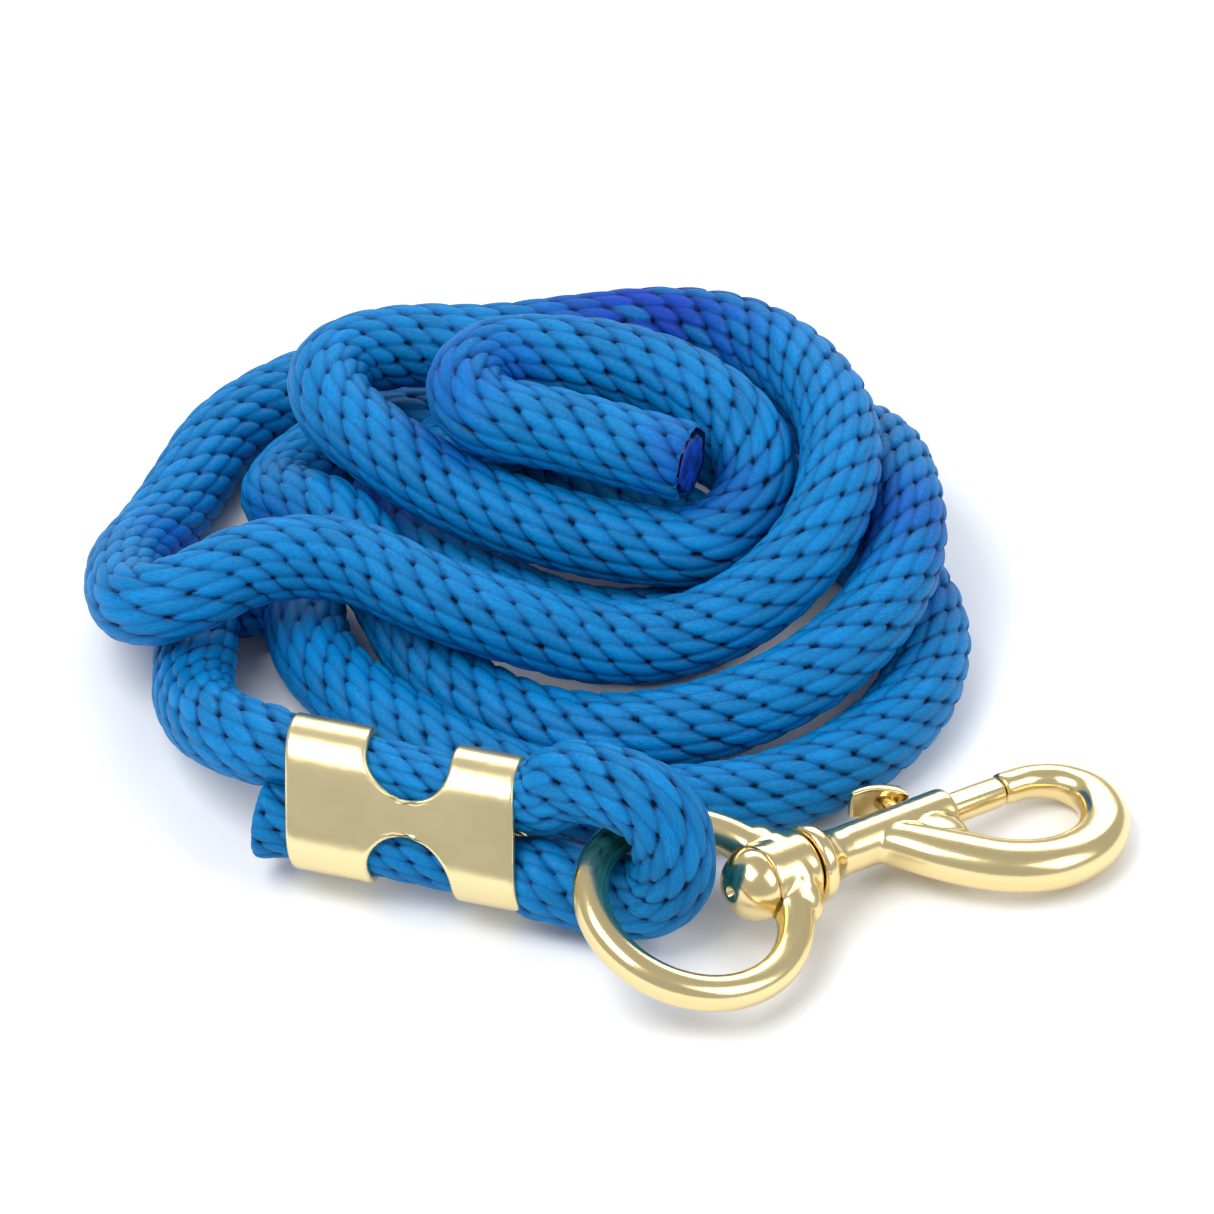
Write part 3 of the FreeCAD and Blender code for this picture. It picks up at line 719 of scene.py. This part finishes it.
def turned_profile(bm, profile, around=64):
    """A solid turned about X from (x, radius) pairs, closed on the axis."""
    loops = []
    for x, radius in profile:
        if radius < 1e-6:
            loops.append([bm.verts.new((x, 0, 0))])
        else:
            loops.append([bm.verts.new((x, radius * math.cos(2 * math.pi * k / around),
                                        radius * math.sin(2 * math.pi * k / around))) for k in range(around)])
    for one, two in zip(loops, loops[1:]):
        if len(one) == len(two):
            skin(bm, one, two)
            continue
        for k in range(around):
            n = (k + 1) % around
            if len(one) == 1:
                bm.faces.new((one[0], two[n], two[k]))
            else:
                bm.faces.new((one[k], one[n], two[0]))


def bent_bar(bm, stations, around=32, steps=10, closed=False):
    """A bar through stations of (place, half width, half depth) with Z as its depth direction."""
    count = len(stations)
    rows = []
    span = range(count if closed else count - 1)
    for i in span:
        p = [stations[(i + k) % count] if closed else stations[min(max(i + k, 0), count - 1)]
             for k in (-1, 0, 1, 2)]
        for step in range(steps):
            t = step / steps
            rows.append([0.5 * ((2 * p[1][j]) + (p[2][j] - p[0][j]) * t
                                + (2 * p[0][j] - 5 * p[1][j] + 4 * p[2][j] - p[3][j]) * t * t
                                + (3 * p[1][j] - p[0][j] - 3 * p[2][j] + p[3][j]) * t ** 3)
                         for j in range(len(p[0]))])
    if not closed:
        rows.append(list(stations[-1]))
    loops = []
    total = len(rows)
    for i, row in enumerate(rows):
        after = rows[(i + 1) % total] if closed else rows[min(i + 1, total - 1)]
        before = rows[(i - 1) % total] if closed else rows[max(i - 1, 0)]
        ahead = Vector((after[0] - before[0], after[1] - before[1], 0)).normalized()
        side = Vector((-ahead.y, ahead.x, 0))
        centre = Vector((row[0], row[1], row[2]))
        loop = []
        for k in range(around):
            angle = 2 * math.pi * k / around
            c, s = math.cos(angle), math.sin(angle)
            c = math.copysign(abs(c) ** 0.9, c)
            s = math.copysign(abs(s) ** 0.9, s)
            loop.append(bm.verts.new(centre + side * (row[3] * c) + Vector((0, 0, row[4] * s))))
        loops.append(loop)
    pairs = list(zip(loops, loops[1:]))
    if closed:
        pairs.append((loops[-1], loops[0]))
    for one, two in pairs:
        skin(bm, one, two)
    if not closed:
        bm.faces.new(list(reversed(loops[0])))
        bm.faces.new(loops[-1])


def swelling(bm, centre, radii):
    made = bmesh.ops.create_uvsphere(bm, u_segments=48, v_segments=32, radius=1.0)
    matrix = Matrix.Translation(centre) @ Matrix.Diagonal((*radii, 1.0))
    bmesh.ops.transform(bm, matrix=matrix, verts=made["verts"])


def object_of(name, fill, place, material):
    bm = bmesh.new()
    fill(bm)
    bmesh.ops.recalc_face_normals(bm, faces=bm.faces)
    set_down(bm, place)
    mesh = bpy.data.meshes.new(name)
    bm.to_mesh(mesh)
    bm.free()
    smooth(mesh)
    if material:
        mesh.materials.append(material)
    return new_object(name, mesh)


def cast(name, fill, place, material, cutters, rounds):
    """Overlapping solids run together as one casting with soft fillets, then cut."""
    obj = object_of(name, fill, place, material)
    melt = obj.modifiers.new("one_skin", "REMESH")
    melt.mode = "VOXEL"
    melt.voxel_size = CAST_VOXEL * MM
    melt.use_smooth_shade = True
    ease = obj.modifiers.new("fillets", "SMOOTH")
    ease.factor = 0.5
    ease.iterations = rounds
    for cutter in cutters:
        cut = obj.modifiers.new("cut", "BOOLEAN")
        cut.operation = "DIFFERENCE"
        cut.solver = "EXACT"
        cut.object = cutter
    bpy.context.view_layer.update()
    graph = bpy.context.evaluated_depsgraph_get()
    mesh = bpy.data.meshes.new_from_object(obj.evaluated_get(graph))
    obj.modifiers.clear()
    obj.data = mesh
    for cutter in cutters:
        bpy.data.objects.remove(cutter)
    mesh.materials.clear()
    mesh.materials.append(material)
    return obj


# ring of the eye with its boss
def eye_fill(bm):
    stations = []
    for k in range(24):
        angle = 2 * math.pi * k / 24
        near = max(0.0, math.cos(angle)) ** 6
        stations.append((RING_RADIUS * math.cos(angle), RING_RADIUS * math.sin(angle), 0.0,
                         RING_BAR + 0.5 * near, RING_BAR + 1.0 * near))
    bent_bar(bm, stations, around=36, steps=6, closed=True)
    swelling(bm, Vector((19.8, 0, 0)), (5.9, 11.4, 5.6))
    swelling(bm, Vector((20.6, 0, 0)), (4.3, 8.8, 6.9))
    turned_profile(bm, [(14.4, 0), (14.4, 6.6), (15.0, 7.0), (24.3, 7.0), (24.9, 6.4), (24.9, 0)])


def eye_seat(bm):
    turned_profile(bm, [(2, 0), (2, 7.4), (14.6, 7.4), (15.0, 7.0), (15.0, 0)])


def eye_bore(bm):
    turned_profile(bm, [(10, 0), (10, 3.56), (30, 3.56), (30, 0)])


swivel_eye = cast("snap_eye", eye_fill, EYE_PLACE, SNAP, [
    object_of("seat_cutter", eye_seat, EYE_PLACE, None),
    object_of("bore_cutter", eye_bore, EYE_PLACE, None),
], rounds=26)
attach(swivel_eye, "eye")
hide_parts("swivel_eye")


# rivet
def rivet_fill(bm):
    profile = [(9.9, 0), (9.9, 0.95), (8.62, 1.1), (8.5, 1.35)]
    for k in range(1, 13):
        angle = math.pi / 2 * k / 12
        profile.append((14.45 - 6.0 * math.cos(angle), 1.2 + 5.6 * math.sin(angle)))
    profile += [(14.62, 6.72), (14.72, 6.5), (14.72, 3.5), (30.4, 3.5), (30.4, 0)]
    turned_profile(bm, profile, around=72)


rivet = object_of("snap_rivet", rivet_fill, SNAP_PLACE, SNAP)
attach(rivet, "hook")
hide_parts("swivel_rivet")

# body of the hook
HOOK_BAR = [
    (38.0, 0.0, 0, 2.6, 2.6), (43.5, -3.0, 0, 4.0, 4.0), (50.0, -10.8, 0, 5.2, 4.4),
    (57.0, -18.3, 0, 5.2, 4.4), (65.3, -22.3, 0, 5.1, 4.4), (74.0, -21.8, 0, 4.9, 4.3),
    (80.8, -17.2, 0, 4.6, 4.1), (83.8, -10.2, 0, 4.0, 3.8), (81.8, -4.0, 0, 3.4, 3.3),
    (77.0, -0.6, 0, 3.05, 3.0), (71.8, 0.2, 0, 2.95, 2.9), (70.2, 0.3, 0, 2.8, 2.75),
]


def hook_fill(bm):
    bent_bar(bm, HOOK_BAR, around=36, steps=8)
    turned_profile(bm, [(25.2, 0), (25.2, 6.9), (25.7, 7.4), (27.6, 7.4), (28.2, 6.9), (29.4, 5.7),
                        (31.3, 4.7), (34.0, 4.5), (45.0, 4.55), (57.2, 4.55), (58.0, 4.0), (58.0, 0)])
    swelling(bm, Vector((50.8, -5.6, 0)), (6.6, 7.0, 4.1))


def hook_bore(bm):
    turned_profile(bm, [(31.5, 0), (31.5, 2.9), (62.5, 2.9), (62.5, 0)])


def hook_slot(bm):
    made = bmesh.ops.create_cube(bm, size=1.0)
    matrix = Matrix.Translation((44.8, 5.0, 0)) @ Matrix.Diagonal((13.8, 10.0, 4.2, 1.0))
    bmesh.ops.transform(bm, matrix=matrix, verts=made["verts"])


hook = cast("snap_hook", hook_fill, SNAP_PLACE, SNAP, [
    object_of("hook_bore_cutter", hook_bore, SNAP_PLACE, None),
    object_of("hook_slot_cutter", hook_slot, SNAP_PLACE, None),
], rounds=16)
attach(hook, "hook")
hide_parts("hook_body")


# bolt
def bolt_fill(bm):
    bar = [(46.5, 0), (46.5, 2.6), (46.8, 2.84), (69.3, 2.84), (69.85, 2.4), (69.85, 0)]
    turned_profile(bm, bar, around=48)
    for vert in bm.verts:
        vert.co.z = max(-BOLT_FLAT_HALF, min(BOLT_FLAT_HALF, vert.co.z))


bolt = object_of("snap_bolt_bar", bolt_fill, SNAP_PLACE, SNAP)
rounded(bolt, 0.25, 2, 35)
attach(bolt, "bolt")
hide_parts("snap_bolt")


# thumb tab, a dished plate on a post
def tab_fill(bm):
    rows = []
    for i in range(13):
        t = i / 12
        x = 43.8 + 9.0 * t
        rise = 10.8 - 2.9 * t ** 2
        half = 3.2 - 0.5 * (2 * t - 1) ** 2
        rows.append((x, rise, half, 1.3 + 2.0 * t ** 2))
    top = [[bm.verts.new((x, y + 0.3 - 0.35 * (z / half) ** 2, z)) for z in
            [half * (-1 + k / 4) for k in range(9)]] for x, y, half, deep in rows]
    low = [[bm.verts.new((x, y + 0.3 - deep - 0.35 * (z / half) ** 2, z)) for z in
            [half * (-1 + k / 4) for k in range(9)]] for x, y, half, deep in rows]
    for sheet in (top, low):
        for one, two in zip(sheet, sheet[1:]):
            for k in range(8):
                bm.faces.new((one[k], one[k + 1], two[k + 1], two[k]))
    for i in range(12):
        bm.faces.new((top[i][0], top[i + 1][0], low[i + 1][0], low[i][0]))
        bm.faces.new((top[i][8], top[i + 1][8], low[i + 1][8], low[i][8]))
    for k in range(8):
        bm.faces.new((top[0][k], top[0][k + 1], low[0][k + 1], low[0][k]))
        bm.faces.new((top[12][k], top[12][k + 1], low[12][k + 1], low[12][k]))


def post_fill(bm):
    turned_profile(bm, [(0.1, 0), (0.1, 1.6), (9.8, 1.6), (9.8, 0)], around=32)
    bmesh.ops.transform(bm, matrix=Matrix.Translation((49.5, 0, 0)) @ Matrix.Rotation(math.pi / 2, 4, "Z"),
                        verts=bm.verts)


tab = object_of("snap_tab", tab_fill, SNAP_PLACE, SNAP)
rounded(tab, 0.4, 3, 45)
post = object_of("snap_tab_post", post_fill, SNAP_PLACE, SNAP)
for piece in (tab, post):
    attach(piece, "bolt")
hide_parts("thumb_tab")


# spring behind the bolt
def spring_fill(bm):
    turns, around, tube = 7.0, 10, 0.3
    count = int(turns * 24)
    loops = []
    for i in range(count + 1):
        angle = 2 * math.pi * turns * i / count
        x = SPRING_FROM + SPRING_LENGTH * i / count
        centre = Vector((x, SPRING_RADIUS * math.cos(angle), SPRING_RADIUS * math.sin(angle)))
        away = Vector((0, math.cos(angle), math.sin(angle)))
        loops.append([bm.verts.new(centre + away * (tube * math.cos(2 * math.pi * k / around))
                                   + Vector((1, 0, 0)) * (tube * math.sin(2 * math.pi * k / around)))
                      for k in range(around)])
    for one, two in zip(loops, loops[1:]):
        skin(bm, one, two)
    bm.faces.new(loops[0])
    bm.faces.new(loops[-1])


spring = object_of("snap_spring", spring_fill, SNAP_PLACE, STEEL)
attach(spring, "hook")
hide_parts("bolt_spring")
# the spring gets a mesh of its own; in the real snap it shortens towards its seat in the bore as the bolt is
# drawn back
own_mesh(spring)

# ---------------------------------------------------------------- floor and light
floor_mesh = bpy.data.meshes.new("floor")
floor_mesh.from_pydata([(-3, -3, 0), (3, -3, 0), (3, 3, 0), (-3, 3, 0)], [], [(0, 1, 2, 3)])
floor = new_object("floor", floor_mesh)
floor_material, _, _, floor_shader = nodes_of("floor_white")
floor_shader.inputs["Base Color"].default_value = (0.93, 0.935, 0.945, 1)
floor_shader.inputs["Roughness"].default_value = 0.75
floor_shader.inputs["Specular IOR Level"].default_value = 0.2
floor_mesh.materials.append(floor_material)

world = bpy.data.worlds.new("studio")
world.use_nodes = True
scene.world = world
back = world.node_tree.nodes["Background"]
back.inputs["Color"].default_value = (0.93, 0.96, 1.0, 1)
back.inputs["Strength"].default_value = 0.55
scene.view_settings.view_transform = "Standard"


def softbox(name, place, aim, width, height, power, colour=(1, 1, 1)):
    data = bpy.data.lights.new(name, "AREA")
    data.shape = "RECTANGLE"
    data.size = width
    data.size_y = height
    data.energy = power
    data.color = colour
    obj = bpy.data.objects.new(name, data)
    obj.location = place
    obj.rotation_euler = (Vector(aim) - Vector(place)).to_track_quat("-Z", "Y").to_euler()
    scene.collection.objects.link(obj)


softbox("key", (-0.55, -0.35, 1.1), (0, 0, 0), 0.9, 0.7, 12.0, (1.0, 0.99, 0.97))
softbox("fill", (0.9, -0.4, 0.8), (0, 0, 0), 0.8, 0.8, 5.0, (0.95, 0.97, 1.0))
softbox("rim", (0.1, 1.0, 0.7), (0, 0, 0.02), 1.2, 0.5, 6.0)

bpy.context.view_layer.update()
